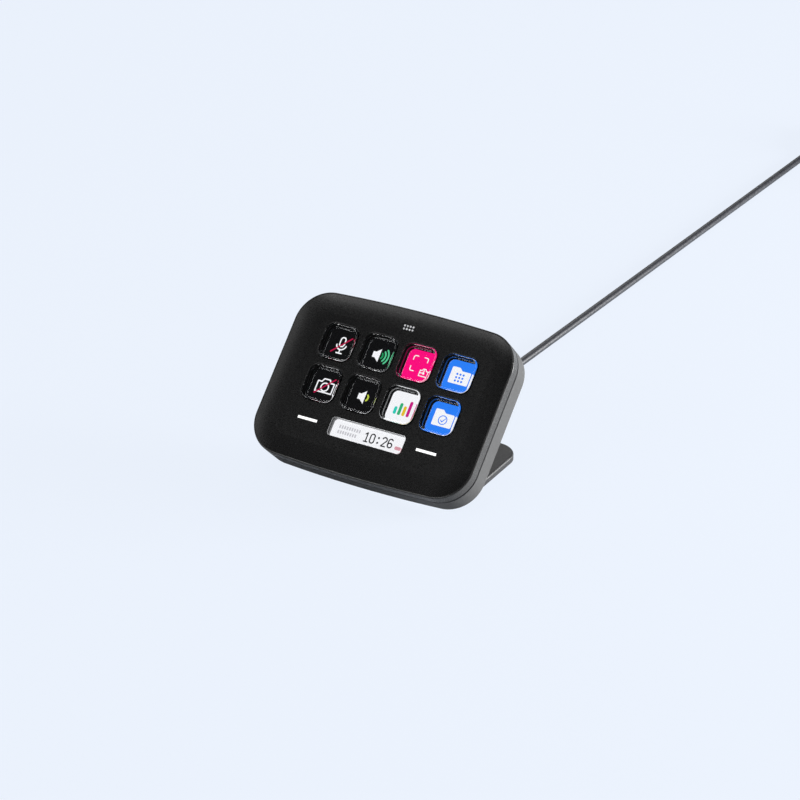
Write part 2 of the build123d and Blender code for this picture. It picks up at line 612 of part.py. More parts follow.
PLATE_FRONT = upright_y(TONGUE_FRONT, PLATE_LOW) + PLATE_SET_BACK
with BuildPart() as stand_frame:
    # Bent strip: under the hump it turns back on itself at the face's angle.
    front_foot = (upright_y(TONGUE_FRONT, PLATE_LOW), PLATE_LOW)
    inner_foot = (upright_y(TONGUE_BACK, PLATE_TOP), PLATE_TOP)
    top_front = DECK.from_local_coords(Vector(0, SHOULDER_V, TONGUE_FRONT))
    top_back = DECK.from_local_coords(Vector(0, SHOULDER_V, TONGUE_BACK))
    with BuildSketch(bend_side) as strip_side:
        with BuildLine():
            Polyline(
                (0, PLATE_LOW),
                front_foot,
                (top_front.Y, top_front.Z),
                (top_back.Y, top_back.Z),
                inner_foot,
                (0, PLATE_TOP),
                close=True,
            )
        make_face()
        low_point = strip_side.vertices().sort_by(Axis.X)[0]
        fillet(low_point, BEND_R)
        inner = [
            p for p in strip_side.vertices() if hypot(p.X - inner_foot[0], p.Y - PLATE_TOP) < 0.05
        ]
        if inner:
            fillet(inner, BEND_IN_R)
    extrude(amount=UPRIGHT_W / 2, both=True)
    with BuildSketch(Plane.XY.offset(PLATE_LOW)):
        with Locations((0, (PLATE_FRONT + PLATE_REAR) / 2)):
            RectangleRounded(PLATE_W, PLATE_REAR - PLATE_FRONT, PLATE_R)
    extrude(amount=PLATE_TOP - PLATE_LOW)
    plate_top = [e for e in stand_frame.edges() if abs(e.center().Z - PLATE_TOP) < 0.01]
    outside = [
        e
        for e in plate_top
        if abs(e.center().X) > PLATE_W / 2 - PLATE_R or e.center().Y > PLATE_REAR - 0.1
    ]
    fillet(outside, PLATE_EDGE)
    with BuildSketch(level(TONGUE_BACK)):
        with Locations((0, SHOULDER_V + TONGUE_L / 2 - 0.5)):
            Rectangle(TONGUE_W, TONGUE_L + 1)
    extrude(amount=UP_T)
    tip = stand_frame.edges().filter_by(Axis.X).sort_by(Axis.Z)[-2:]
    chamfer(tip, 0.8)
    with BuildSketch(Plane.XY.offset(PLATE_LOW)):
        with Locations((0, (PLATE_FRONT + PLATE_REAR) / 2)):
            RectangleRounded(
                PLATE_W - 2 * PAD_INSET,
                PLATE_REAR - PLATE_FRONT - 2 * PAD_INSET,
                PLATE_R - PAD_INSET,
            )
    extrude(amount=PAD_T - PAD_PROUD, mode=Mode.SUBTRACT)
save(stand_frame.part, "stand_frame")

with BuildPart() as stand_pad:
    with BuildSketch(Plane.XY):
        with Locations((0, (PLATE_FRONT + PLATE_REAR) / 2)):
            RectangleRounded(
                PLATE_W - 2 * PAD_INSET - 2 * FIT,
                PLATE_REAR - PLATE_FRONT - 2 * PAD_INSET - 2 * FIT,
                PLATE_R - PAD_INSET - FIT,
            )
    extrude(amount=PAD_T)
    chamfer(stand_pad.edges().group_by(Axis.Z)[0], 0.2)
save(stand_pad.part, "stand_pad")

# ---- Gland: tapered strain relief with grooves, held by a flange behind the hump's wall ----
gland_side = Plane(origin=ramp_mid, x_dir=gland_out, z_dir=(1, 0, 0))
gland_axis = Axis(ramp_mid, gland_out)
GROOVES = 4
GROOVE_PITCH = 2.4
with BuildPart() as cord_gland:
    with BuildSketch(gland_side):
        with BuildLine():
            Polyline(
                (-IN - GLAND_FLANGE_T, 0),
                (-IN - GLAND_FLANGE_T, GLAND_FLANGE_R),
                (-IN, GLAND_FLANGE_R),
                (-IN, GLAND_NECK_R),
                (0, GLAND_NECK_R),
                (0, GLAND_R0 + 0.6),
                (1.2, GLAND_R0 + 0.6),
                (1.8, GLAND_R0),
                (GLAND_L, GLAND_R1),
                (GLAND_L, 0),
                close=True,
            )
        make_face()
    revolve(axis=gland_axis)
    for groove in range(GROOVES):
        with BuildSketch(gland_side):
            with Locations((3.6 + groove * GROOVE_PITCH, GLAND_R0)):
                Rectangle(1.0, 2.0)
        revolve(axis=gland_axis, mode=Mode.SUBTRACT)
save(cord_gland.part, "cord_gland")

# ---- Header on the main board and the inner lead that runs to it ----
HEADER_W, HEADER_H, HEADER_T = 12.0, 6.0, 4.6
HEADER_V = 9.0
with BuildPart() as lead_header:
    with BuildSketch(level(MAIN_LOW)):
        with Locations((0, HEADER_V)):
            Rectangle(HEADER_W, HEADER_H)
    extrude(amount=-HEADER_T)
    chamfer([e for e in lead_header.edges() if height_of(e) < MAIN_LOW - HEADER_T + 0.01], 0.4)
save(lead_header.part, "lead_header")

lead_start = ramp_mid - gland_out * (IN + GLAND_FLANGE_T)
lead_height = MAIN_LOW - HEADER_T / 2 - 0.4
start_v = (lead_start - DECK.origin).dot(DECK.y_dir)
start_h = (lead_start - DECK.origin).dot(DECK.z_dir)
turn_v = start_v - (lead_height - start_h)
lead_turn = DECK.from_local_coords(Vector(0, turn_v, lead_height))
lead_end = DECK.from_local_coords(Vector(0, HEADER_V + HEADER_H / 2, lead_height))
with BuildPart() as inner_lead:
    with BuildLine() as lead_line:
        FilletPolyline(lead_start, lead_turn, lead_end, radius=2.0)
    with BuildSketch(Plane(origin=lead_start, x_dir=(1, 0, 0), z_dir=-gland_out)):
        Circle(LEAD_D / 2)
    sweep(path=lead_line.line)
save(inner_lead.part, "inner_lead")

# ---- Cord: out of the gland, down to the desk, then straight back to the coil ----
R = CORD_D / 2
cord_exit = ramp_mid + gland_out * GLAND_L
first_turn = cord_exit + gland_out * 15.6
ROUTE = [
    tuple(cord_exit),
    tuple(first_turn),
    (0.1, 65.0, 27.5),
    (0.4, 80.0, 12.0),
    (1.1, 98.0, R),
    (14.7, 430.0, R),
]


def corner_radius(before, corner, after):
    """Largest arc that a cord's two runs leave room for."""
    first, second = Vector(corner) - Vector(before), Vector(after) - Vector(corner)
    half_turn = radians(first.get_angle(second)) / 2
    return 0.45 * min(first.length, second.length) / tan(half_turn)


cord_radii = [corner_radius(*ROUTE[i - 1 : i + 2]) for i in range(1, len(ROUTE) - 1)]
print("cord radii", [round(r, 1) for r in cord_radii])
with BuildPart() as usb_cord:
    with BuildLine() as cord_line:
        FilletPolyline(*ROUTE, radius=cord_radii)
    with BuildSketch(Plane(origin=ROUTE[0], z_dir=Vector(ROUTE[1]) - Vector(ROUTE[0]))):
        Circle(R)
    sweep(path=cord_line.line)
cord_length = sum(e.length for e in cord_line.edges())
section_volume = pi * R**2 * cord_length
print("cord tube", round(cord_length, 1), "volume ratio", usb_cord.part.volume / section_volume)
save(usb_cord.part, "usb_cord")

# ---- Coil: ring of turns with the lead-in and the tail, waisted under its tie ----
run_dir = (Vector(ROUTE[-1]) - Vector(ROUTE[-2])).normalized()
right_dir = Vector(run_dir.Y, -run_dir.X, 0)
ring_in, ring_out = COIL_R - COIL_ROWS * R, COIL_R + COIL_ROWS * R
turn_out = ring_out - R
coil_mid = Vector(ROUTE[-1]) + run_dir * STUB + right_dir * turn_out
coil_mid = Vector(coil_mid.X, coil_mid.Y, 0)
COIL_H = COIL_ROWS * CORD_D
TOP_Z = COIL_H - R
tail_start = coil_mid + right_dir * turn_out + Vector(0, 0, TOP_Z)
grip_start = tail_start - run_dir * 26 + Vector(0, 0, GRIP_H / 2 - TOP_Z)
TAIL = [
    tail_start,
    tail_start - run_dir * 8 - Vector(0, 0, 0.6),
    grip_start + run_dir * 8,
    grip_start,
]
tail_radii = [corner_radius(*TAIL[i - 1 : i + 2]) for i in (1, 2)]
tie_plane = Plane(origin=coil_mid, x_dir=run_dir, z_dir=(0, 0, 1))
across = (ring_in + ring_out) / 2
with BuildPart() as cord_coil:
    with BuildSketch(Plane(origin=coil_mid, x_dir=(1, 0, 0), z_dir=(0, -1, 0))):
        with Locations((COIL_R, COIL_H / 2)):
            RectangleRounded(ring_out - ring_in, COIL_H, R - 0.05)
    revolve(axis=Axis(coil_mid, (0, 0, 1)))
    with BuildSketch(Plane(origin=ROUTE[-1], z_dir=run_dir)):
        Circle(R)
    extrude(amount=STUB)
    with BuildLine() as tail_line:
        FilletPolyline(*TAIL, radius=tail_radii)
    with BuildSketch(Plane(origin=TAIL[0], z_dir=TAIL[1] - TAIL[0])):
        Circle(R)
    sweep(path=tail_line.line)
    # Waist under the tie.
    with BuildSketch(tie_plane):
        with Locations((across, 0)):
            Rectangle(ring_out - ring_in + 4, TIE_W)
    extrude(amount=COIL_H, mode=Mode.SUBTRACT)
    with BuildSketch(tie_plane.offset(TIE_T)):
        with Locations((across, 0)):
            Rectangle(ring_out - ring_in - 2 * TIE_T, TIE_W + 1.0)
    extrude(amount=COIL_H - 2 * TIE_T)
save(cord_coil.part, "cord_coil")

with BuildPart() as cord_tie:
    with BuildSketch(tie_plane):
        with Locations((across, 0)):
            Rectangle(ring_out - ring_in, TIE_W)
    extrude(amount=COIL_H)
    with BuildSketch(tie_plane.offset(TIE_T)):
        with Locations((across, 0)):
            Rectangle(ring_out - ring_in - 2 * TIE_T, TIE_W)
    extrude(amount=COIL_H - 2 * TIE_T, mode=Mode.SUBTRACT)
save(cord_tie.part, "cord_tie")

# ---- Plug: tapered grip and the metal shell ----
grip_plane = Plane(origin=grip_start, x_dir=right_dir, z_dir=-run_dir)
with BuildPart() as usb_plug_grip:
    with BuildSketch(grip_plane):
        Circle(R + 0.5)
    with BuildSketch(grip_plane.offset(GRIP_TAPER)):
        RectangleRounded(GRIP_W - 1.4, GRIP_H - 0.8, 2.2)
    loft()
    with BuildSketch(grip_plane.offset(GRIP_TAPER)):
        RectangleRounded(GRIP_W, GRIP_H, 2.6)
    extrude(amount=GRIP_L)
    ends = [
        e
        for e in usb_plug_grip.edges()
        if abs((e.center() - grip_start).dot(-run_dir) - GRIP_TAPER - GRIP_L) < 0.01
    ]
    fillet(ends, 0.8)
save(usb_plug_grip.part, "usb_plug_grip")

with BuildPart() as usb_plug_shell:
    with BuildSketch(grip_plane.offset(GRIP_TAPER + GRIP_L)):
        RectangleRounded(SHELL_W, SHELL_H, SHELL_H / 2 - 0.02)
    extrude(amount=SHELL_L)
    with BuildSketch(grip_plane.offset(GRIP_TAPER + GRIP_L + 0.8)):
        RectangleRounded(SHELL_W - 0.7, SHELL_H - 0.7, SHELL_H / 2 - 0.4)
    extrude(amount=SHELL_L, mode=Mode.SUBTRACT)
    with BuildSketch(grip_plane.offset(GRIP_TAPER + GRIP_L + 0.8)):
        Rectangle(6.7, 0.7)
    extrude(amount=SHELL_L - 1.4)
save(usb_plug_shell.part, "usb_plug_shell")
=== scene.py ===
from math import cos, hypot, pi, radians, sin, sqrt

import bmesh
import bpy
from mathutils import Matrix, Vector


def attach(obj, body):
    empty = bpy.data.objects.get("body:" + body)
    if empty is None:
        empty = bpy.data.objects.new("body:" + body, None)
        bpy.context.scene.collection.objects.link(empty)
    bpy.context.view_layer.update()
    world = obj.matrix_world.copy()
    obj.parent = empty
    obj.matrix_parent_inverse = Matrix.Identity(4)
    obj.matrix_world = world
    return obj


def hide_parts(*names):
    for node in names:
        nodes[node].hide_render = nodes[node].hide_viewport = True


# Desk key pad: eight clear keys over one colour screen, a clock window, two lit bars, a foot
# plate and a USB lead. Sizes here are millimetres, and mm() brings them into the scene's metres.
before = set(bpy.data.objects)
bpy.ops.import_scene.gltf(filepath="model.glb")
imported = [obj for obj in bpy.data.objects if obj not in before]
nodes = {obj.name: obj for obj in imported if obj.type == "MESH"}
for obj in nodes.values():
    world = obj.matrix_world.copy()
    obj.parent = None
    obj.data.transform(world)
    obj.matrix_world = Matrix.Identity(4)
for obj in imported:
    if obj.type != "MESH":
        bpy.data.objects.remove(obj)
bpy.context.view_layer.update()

# ---- The face: heights are measured along its outward normal, 0 at its middle ----
TILT = radians(45)
FACE_Y, FACE_Z = -8.46, 38.202  # middle of the face
FACE_H = 77.4
DISH, DISH_W = 1.2, 10.5  # rise of the face towards its rim, and the width it takes
FACE_OUT = (0, -sin(TILT), cos(TILT))  # the face's outward normal
FACE_LEVEL = (FACE_Z * cos(TILT) - FACE_Y * sin(TILT)) / 1000  # its level along that, in metres
KEY_PITCH, KEY_GRID_V = 19.35, 7.0
SCREEN = -5.54  # front of the screen
LAYER = 0.03  # step from one layer of a picture to the next
PIXEL = 0.29  # real pixels are about half as wide, too fine to show
GRID, GRID_TONE = 0.06, 0.72  # line between pixels: share of a pixel's width, and of its light
TILE, TILE_R = 13.6, 2.4  # picture under one key
BAR_V = -19.1  # height of the clock and the light bars
LIGHT_X = 1.5 * KEY_PITCH
LIGHT_W, LIGHT_H = 10.0, 2.0  # lit part of the screen under one bar
PRINT, PRINT_V = 0.03, 30.6  # half the thickness of the print, and how far up the face it is
DOT_PITCH, DOT_R = 1.4, 0.46
SEAM, SEAM_SHADOW = 4.3, 0.52  # seam between the shells, and half the width of the painted shadow line along it

# ---- Cord ----
CORD_D = 3.6
ROUTE = [
    (0.0, 34.67, 38.77),
    (0.0, 50.27, 38.77),
    (0.1, 65.0, 27.5),
    (0.4, 80.0, 12.0),
    (1.1, 98.0, 1.8),
    (14.7, 430.0, 1.8),
]
COIL_R = 19.1
COIL_TURNS = 8.5
COIL_STEPS = 24  # points in one turn
STUB = 14.0  # straight end of the run beside the coil
# Ring slots in the order the cord fills them: rows out from the middle turn, layers up.
COIL_SLOTS = [(1, 0), (0, 0), (-1, 0), (-1, 1), (-1, 2), (0, 2), (0, 1), (1, 1), (1, 2)]
SLOT_CHANGE = 0.16  # share of a turn in which the cord moves to its next slot
GRIP_H = 6.4  # height of the plug's grip, which lies on the desk
GRIP_GAP = 26.0  # from the coil's last turn to the grip
TAIL_LEAD, TAIL_DROP = 8.0, 0.6  # straight part at each end of the tail, and its first drop


def mm(*point):
    """A point in millimetres as a vector in the scene's metres."""
    return Vector(point) / 1000


def on_face(x, v, height=0.0):
    """A point by its place across and up the face and its height above it."""
    return mm(
        x,
        FACE_Y + v * sin(TILT) - height * cos(TILT),
        FACE_Z + v * cos(TILT) + height * sin(TILT),
    )


# ---- Colours and shader nodes ----
def srgb(code):
    """A hex colour as the linear colour that shaders take."""
    parts = [int(code[i : i + 2], 16) / 255 for i in (1, 3, 5)]
    return (*[c / 12.92 if c <= 0.04045 else ((c + 0.055) / 1.055) ** 2.4 for c in parts], 1)


def add_node(tree, kind, links=(), **settings):
    """Adds one node: settings by socket or property name, links as (socket, output it takes)."""
    made = tree.nodes.new("ShaderNode" + kind)
    for name, value in settings.items():
        if hasattr(made, name):
            setattr(made, name, value)
        else:
            made.inputs[name.replace("_", " ")].default_value = value
    for socket, output in links:
        tree.links.new(output, made.inputs[socket])
    return made


def finish_named(name):
    """A new material with its tree, its shader and coordinates fixed to the object."""
    made = bpy.data.materials.new(name)
    made.use_nodes = True
    tree = made.node_tree
    shader = tree.nodes["Principled BSDF"]
    place = add_node(tree, "TexCoord").outputs["Object"]
    return made, tree, shader, place


def grain(tree, place, size_mm, low=0.42, high=0.58):
    """Grain of a real size as a 0 to 1 pattern: low and high say how hard its edges are."""
    noise = add_node(tree, "TexNoise", [("Vector", place)], Scale=1000 / size_mm, Detail=3.0)
    return add_node(
        tree, "MapRange", [("Value", noise.outputs["Fac"])], From_Min=low, From_Max=high
    ).outputs["Result"]


def blend_colours(tree, factor, first, second):
    """A colour between two, by a factor or a pattern."""
    mix = add_node(tree, "Mix", data_type="RGBA")
    tree.links.new(factor, mix.inputs[0])
    for socket, colour in ((6, first), (7, second)):
        if isinstance(colour, tuple):
            mix.inputs[socket].default_value = colour
        else:
            tree.links.new(colour, mix.inputs[socket])
    return mix.outputs[2]


def roughness_by(tree, shader, pattern, low, high):
    """Roughness that wanders between two values with a pattern."""
    ranged = add_node(tree, "MapRange", [("Value", pattern)], To_Min=low, To_Max=high)
    tree.links.new(ranged.outputs["Result"], shader.inputs["Roughness"])


def relief(tree, shader, pattern, depth_mm, strength):
    """Bump from a pattern, with its real depth."""
    bump = add_node(
        tree, "Bump", [("Height", pattern)], Strength=strength, Distance=depth_mm / 1000
    )
    tree.links.new(bump.outputs["Normal"], shader.inputs["Normal"])


def along_face_normal(tree, vector):
    """How far a vector or a point reaches along the face's outward normal, in metres."""
    made = add_node(tree, "VectorMath", [(0, vector)], operation="DOT_PRODUCT")
    made.inputs[1].default_value = FACE_OUT
    return made.outputs["Value"]


def step_down(tree, value, high, low):
    """0 above the high value and 1 below the low one."""
    ranged = add_node(tree, "MapRange", [("Value", value)], From_Min=high, From_Max=low)
    return ranged.outputs["Result"]


def shell_abs(name, face, clouded, wall, sheen_low, sheen_high):
    """Black ABS moulded in a spark-eroded tool: an even fine grain that turns shine into a soft
    glow. The walls come from a coarser part of the tool and are duller; their lighter colour is
    partly that grain and partly painted light for the brightly lit sides. The seam between the
    shells is painted as a dark line of shadow."""
    made, tree, shader, place = finish_named(name)
    normal = add_node(tree, "TexCoord").outputs["Normal"]
    # A surface counts as wall where it turns away from the face.
    on_wall = step_down(tree, along_face_normal(tree, normal), 0.75, 0.35)
    cloud = grain(tree, place, 9.0, 0.3, 0.7)
    grit = grain(tree, place, 0.4)  # real grit is about 0.05 mm, too fine to show
    front = blend_colours(tree, cloud, srgb(face), srgb(clouded))
    # Walls take a lighter colour: partly their coarser grain, partly painted light standing in for
    # the brightly lit sides.
    body = blend_colours(tree, on_wall, front, srgb(wall))
    from_seam = add_node(tree, "Math", [(0, along_face_normal(tree, place))], operation="SUBTRACT")
    from_seam.inputs[1].default_value = FACE_LEVEL - SEAM / 1000
    gap = add_node(tree, "Math", [(0, from_seam.outputs[0])], operation="ABSOLUTE").outputs[0]
    # Painted shadow: the gap at the seam is drawn as a near-black line in the colour.
    shadow = step_down(tree, gap, SEAM_SHADOW * 1.2 / 1000, SEAM_SHADOW / 1000)
    colour = blend_colours(tree, shadow, body, srgb("#050506"))
    tree.links.new(colour, shader.inputs["Base Color"])
    level = add_node(tree, "MapRange", [("Value", on_wall)], To_Min=0.5, To_Max=0.06)
    tree.links.new(level.outputs["Result"], shader.inputs["Specular IOR Level"])
    roughness_by(tree, shader, grit, sheen_low, sheen_high)
    relief(tree, shader, grit, 0.006, 0.5)
    shader.inputs["IOR"].default_value = 1.54
    return made


def clear_acrylic():
    """Polished clear PMMA: clean refraction and crisp edges. The sides inside the housing are
    printed black, so that no picture shows in its neighbour's wall."""
    made, tree, shader, place = finish_named("clear_acrylic_polished")
    normal = add_node(tree, "TexCoord").outputs["Normal"]
    facing = add_node(tree, "Math", [(0, along_face_normal(tree, normal))], operation="ABSOLUTE")
    side = step_down(tree, facing.outputs[0], 0.75, 0.65)
    # The black starts 0.2 mm below the face.
    height = along_face_normal(tree, place)
    sunk = step_down(tree, height, FACE_LEVEL - 0.2 / 1000, FACE_LEVEL - 0.3 / 1000)
    printed = add_node(tree, "Math", [(0, side), (1, sunk)], operation="MULTIPLY").outputs[0]
    colour = blend_colours(tree, printed, srgb("#fbfdff"), srgb("#020203"))
    tree.links.new(colour, shader.inputs["Base Color"])
    clear = add_node(tree, "Math", [(1, printed)], operation="SUBTRACT")
    clear.inputs[0].default_value = 1.0
    tree.links.new(clear.outputs[0], shader.inputs["Transmission Weight"])
    shader.inputs["IOR"].default_value = 1.49
    shader.inputs["Roughness"].default_value = 0.0
    return made


def milky_pipe():
    """Opal polycarbonate light pipe lit from behind: an even white with a faint cloudiness."""
    made, tree, shader, place = finish_named("opal_polycarbonate_lit")
    cloud = grain(tree, place, 3.0, 0.2, 0.8)
    colour = blend_colours(tree, cloud, srgb("#f6f6f4"), srgb("#ffffff"))
    tree.links.new(colour, shader.inputs["Base Color"])
    tree.links.new(colour, shader.inputs["Emission Color"])
    shader.inputs["Emission Strength"].default_value = 0.75
    shader.inputs["Roughness"].default_value = 0.35
    shader.inputs["IOR"].default_value = 1.58
    return made


def lit_pixels(name, code, strength=1.0):
    """One colour of the screen's picture: backlit pixels with the thin dark grid between them."""
    made, tree, shader, place = finish_named(name)
    turned = add_node(tree, "Mapping", [("Vector", place)], vector_type="POINT")
    turned.inputs["Rotation"].default_value = (-TILT, 0, 0)
    pixels = add_node(tree, "TexBrick", [("Vector", turned.outputs["Vector"])], offset=0.0)
    pixels.inputs["Scale"].default_value = 1000.0
    pixels.inputs["Brick Width"].default_value = PIXEL
    pixels.inputs["Row Height"].default_value = PIXEL
    pixels.inputs["Mortar Size"].default_value = PIXEL * GRID
    pixels.inputs["Mortar Smooth"].default_value = 0.4
    colour = srgb(code)
    pixels.inputs["Color1"].default_value = colour
    pixels.inputs["Color2"].default_value = colour
    pixels.inputs["Mortar"].default_value = (*[c * GRID_TONE for c in colour[:3]], 1)
    tree.links.new(pixels.outputs["Color"], shader.inputs["Emission Color"])
    shader.inputs["Emission Strength"].default_value = strength
    shader.inputs["Base Color"].default_value = srgb("#020203")
    shader.inputs["Specular IOR Level"].default_value = 0.0
    return made


def plain_finish(name, first, second, size_mm, rough, depth_mm=0.0, ior=1.5, metal=0.0):
    """The frame of most finishes: two close colours in a grain of a real size, a roughness that
    follows the grain, and its relief."""
    made, tree, shader, place = finish_named(name)
    pattern = grain(tree, place, size_mm, 0.35, 0.65)
    colour = blend_colours(tree, pattern, srgb(first), srgb(second))
    tree.links.new(colour, shader.inputs["Base Color"])
    roughness_by(tree, shader, pattern, *rough)
    if depth_mm:
        relief(tree, shader, pattern, depth_mm, 0.6)
    shader.inputs["IOR"].default_value = ior
    shader.inputs["Metallic"].default_value = metal
    return made


def circuit_board():
    """FR4 under black solder mask: a satin film with the tracks just showing as raised lines."""
    made, tree, shader, place = finish_named("fr4_black_solder_mask")
    tracks = add_node(tree, "TexBrick", [("Vector", place)], offset=0.37, squash=0.6)
    tracks.inputs["Scale"].default_value = 1000.0
    tracks.inputs["Brick Width"].default_value = 5.2
    tracks.inputs["Row Height"].default_value = 0.9
    tracks.inputs["Mortar Size"].default_value = 0.14
    tracks.inputs["Color1"].default_value = srgb("#0c120f")
    tracks.inputs["Color2"].default_value = srgb("#0e1612")
    tracks.inputs["Mortar"].default_value = srgb("#1d2a23")
    tree.links.new(tracks.outputs["Color"], shader.inputs["Base Color"])
    relief(tree, shader, tracks.outputs["Fac"], 0.03, 0.5)
    shader.inputs["Roughness"].default_value = 0.32
    return made


def screen_glass():
    """Unlit part of the screen: black mask behind smooth glass, with a trace of backlight."""
    made, tree, shader, place = finish_named("screen_glass_black_mask")
    cloud = grain(tree, place, 14.0, 0.3, 0.7)
    colour = blend_colours(tree, cloud, srgb("#050608"), srgb("#0a0b0e"))
    tree.links.new(colour, shader.inputs["Base Color"])
    tree.links.new(colour, shader.inputs["Emission Color"])
    shader.inputs["Emission Strength"].default_value = 0.4
    shader.inputs["Roughness"].default_value = 0.1
    shader.inputs["Specular IOR Level"].default_value = 0.1
    return made


def flex_tracks():
    """Polyimide flex: amber film with copper tracks glowing through in stripes."""
    made, tree, shader, place = finish_named("polyimide_flex_copper_tracks")
    waves = add_node(tree, "TexWave", [("Vector", place)], bands_direction="X")
    # At a scale of 1 a stripe is 2 pi / 20 wide, and the tracks lie 0.5 mm apart.
    waves.inputs["Scale"].default_value = 1000 / 0.5 / 20 * 2 * pi
    waves.inputs["Distortion"].default_value = 0.0
    colour = blend_colours(tree, waves.outputs["Fac"], srgb("#7a3d12"), srgb("#b5651d"))
    tree.links.new(colour, shader.inputs["Base Color"])
    relief(tree, shader, waves.outputs["Fac"], 0.05, 0.6)
    roughness_by(tree, shader, waves.outputs["Fac"], 0.25, 0.4)
    return made


PLAIN_FINISHES = {
    # Silicone rubber straight from the mould: dull, dark and slightly dusty.
    "membrane": ("silicone_moulded", "#141415", "#1b1b1c", 0.8, (0.6, 0.75), 0.01, 1.43),
    # Conductive foam: open cells that swallow the light.
    "foam": ("conductive_foam_cut", "#26262a", "#3c3c42", 0.5, (0.9, 1.0), 0.12),
    # Glass-filled nylon: greyish fibres under a dull skin.
    "carrier": ("nylon_glass_filled", "#1c1c1e", "#2c2c2f", 0.6, (0.5, 0.62), 0.01, 1.53),
    # Moulded epoxy chip bodies: charcoal with a fine sparkle.
    "chips": ("epoxy_moulded_chips", "#151517", "#222225", 0.3, (0.45, 0.6), 0.006, 1.55),
    # Natural nylon header: waxy cream.
    "header": ("nylon_natural_moulded", "#d9d4c6", "#e6e2d6", 2.0, (0.35, 0.45), 0.01, 1.53),
    # Zinc-plated steel: bluish silver with a cloudy passivation.
    "screws": ("steel_zinc_plated", "#a9adb3", "#c3c6c9", 0.5, (0.22, 0.38), 0.0, 1.5, 1.0),
    # Rubber feet and pad: matt black with a fine moulded grain that grips the desk.
    "rubber_feet": ("rubber_moulded_matt", "#121213", "#1b1b1c", 0.5, (0.7, 0.85), 0.02, 1.52),
    # Powder-coated stand: fine orange peel over dark grey.
    "stand": ("powder_coat_fine", "#1c1c1e", "#212123", 0.7, (0.46, 0.56), 0.012),
    # Soft TPE of the gland and the plug's grip: satin black.
    "gland": ("tpe_satin_black", "#18181a", "#202022", 0.9, (0.45, 0.55), 0.008),
    "plug_grip": ("tpe_satin_grip", "#1a1a1c", "#222224", 0.9, (0.42, 0.52), 0.01),
    # Extruded TPE cord jacket: smooth satin with a soft streak of light.
    "cord_jacket": ("tpe_extruded_jacket", "#222327", "#292a2f", 1.6, (0.36, 0.46), 0.01),
    # Hook-and-loop tie: short nap of loops.
    "tie": ("nylon_loop_strap", "#131314", "#26262a", 0.45, (0.8, 0.95), 0.15),
    # Nickel-plated drawn steel: bright, with faint mottling.
    "plug_metal": ("steel_nickel_plated", "#bdbab4", "#d2d0ca", 0.35, (0.14, 0.26), 0.0, 1.5, 1.0),
}
FINISHES = {
    "front_shell": shell_abs("black_abs_spark_eroded", "#0c0c0c", "#0f0f0f", "#424242", 0.23, 0.29),
    "rear_shell": shell_abs(
        "black_abs_spark_eroded_rear", "#242426", "#28282a", "#505050", 0.5, 0.6
    ),
    "clear_plastic": clear_acrylic(),
    "light_pipe": milky_pipe(),
    "circuit_board": circuit_board(),
    "screen_glass": screen_glass(),
    "flex": flex_tracks(),
    **{finish: plain_finish(*row) for finish, row in PLAIN_FINISHES.items()},
}

NODE_FINISH = {
    "front_housing": "front_shell",
    "rear_housing": "rear_shell",
    "clock_window": "clear_plastic",
    "light_bar_left": "light_pipe",
    "light_bar_right": "light_pipe",
    "key_membrane": "membrane",
    "key_board": "circuit_board",
    "main_board": "circuit_board",
    "touch_pads": "foam",
    "lcd_panel": "screen_glass",
    "lcd_carrier": "carrier",
    "lcd_flex": "flex",
    "key_flex": "flex",
    "board_parts": "chips",
    "lead_header": "header",
    "inner_lead": "cord_jacket",
    "shell_screws": "screws",
    "carrier_screws": "screws",
    "board_screws": "screws",
    "rear_feet": "rubber_feet",
    "stand_pad": "rubber_feet",
    "stand_frame": "stand",
    "cord_gland": "gland",
    "cord_tie": "tie",
    "usb_plug_grip": "plug_grip",
    "usb_plug_shell": "plug_metal",
    **{f"key_cap_{number}": "clear_plastic" for number in range(1, 9)},
}
for node_name, finish in NODE_FINISH.items():
    for material_slot in nodes[node_name].material_slots:
        material_slot.material = FINISHES[finish]


# ---- Outlines for pictures and prints: each is a list of (x, y) points in millimetres ----
def arc(cx, cy, radius, start, end, steps=16):
    """Points along an arc, angles in degrees."""
    turns = [radians(start + (end - start) * i / steps) for i in range(steps + 1)]
    return [(cx + radius * cos(t), cy + radius * sin(t)) for t in turns]


def disc(cx, cy, radius):
    """A round dot, as one outline."""
    return [arc(cx, cy, radius, 0, 345, 23)]


def rounded_box(cx, cy, width, height, radius):
    """A box with round corners, as one outline."""
    half_w, half_h = width / 2 - radius, height / 2 - radius
    corners = ((1, 1, 0), (-1, 1, 90), (-1, -1, 180), (1, -1, 270))
    return [
        [
            p
            for i, j, start in corners
            for p in arc(cx + i * half_w, cy + j * half_h, radius, start, start + 90, 6)
        ]
    ]


def bow(cx, cy, radius, width, start, end):
    """A bent band, with round ends."""
    outer = arc(cx, cy, radius + width / 2, start, end)
    inner = arc(cx, cy, radius - width / 2, end, start)
    caps = [disc(*arc(cx, cy, radius, a, a, 1)[0], width / 2)[0] for a in (start, end)]
    return [outer + inner, *caps]


def stroke(points, width, closed=False):
    """A drawn line with round joints and ends."""
    points = list(points) + ([points[0]] if closed else [])
    shapes = [disc(x, y, width / 2)[0] for x, y in points]
    for (x0, y0), (x1, y1) in zip(points, points[1:]):
        length = hypot(x1 - x0, y1 - y0)
        nx, ny = (y0 - y1) / length * width / 2, (x1 - x0) / length * width / 2
        shapes.append(
            [(x0 - nx, y0 - ny), (x1 - nx, y1 - ny), (x1 + nx, y1 + ny), (x0 + nx, y0 + ny)]
        )
    return shapes


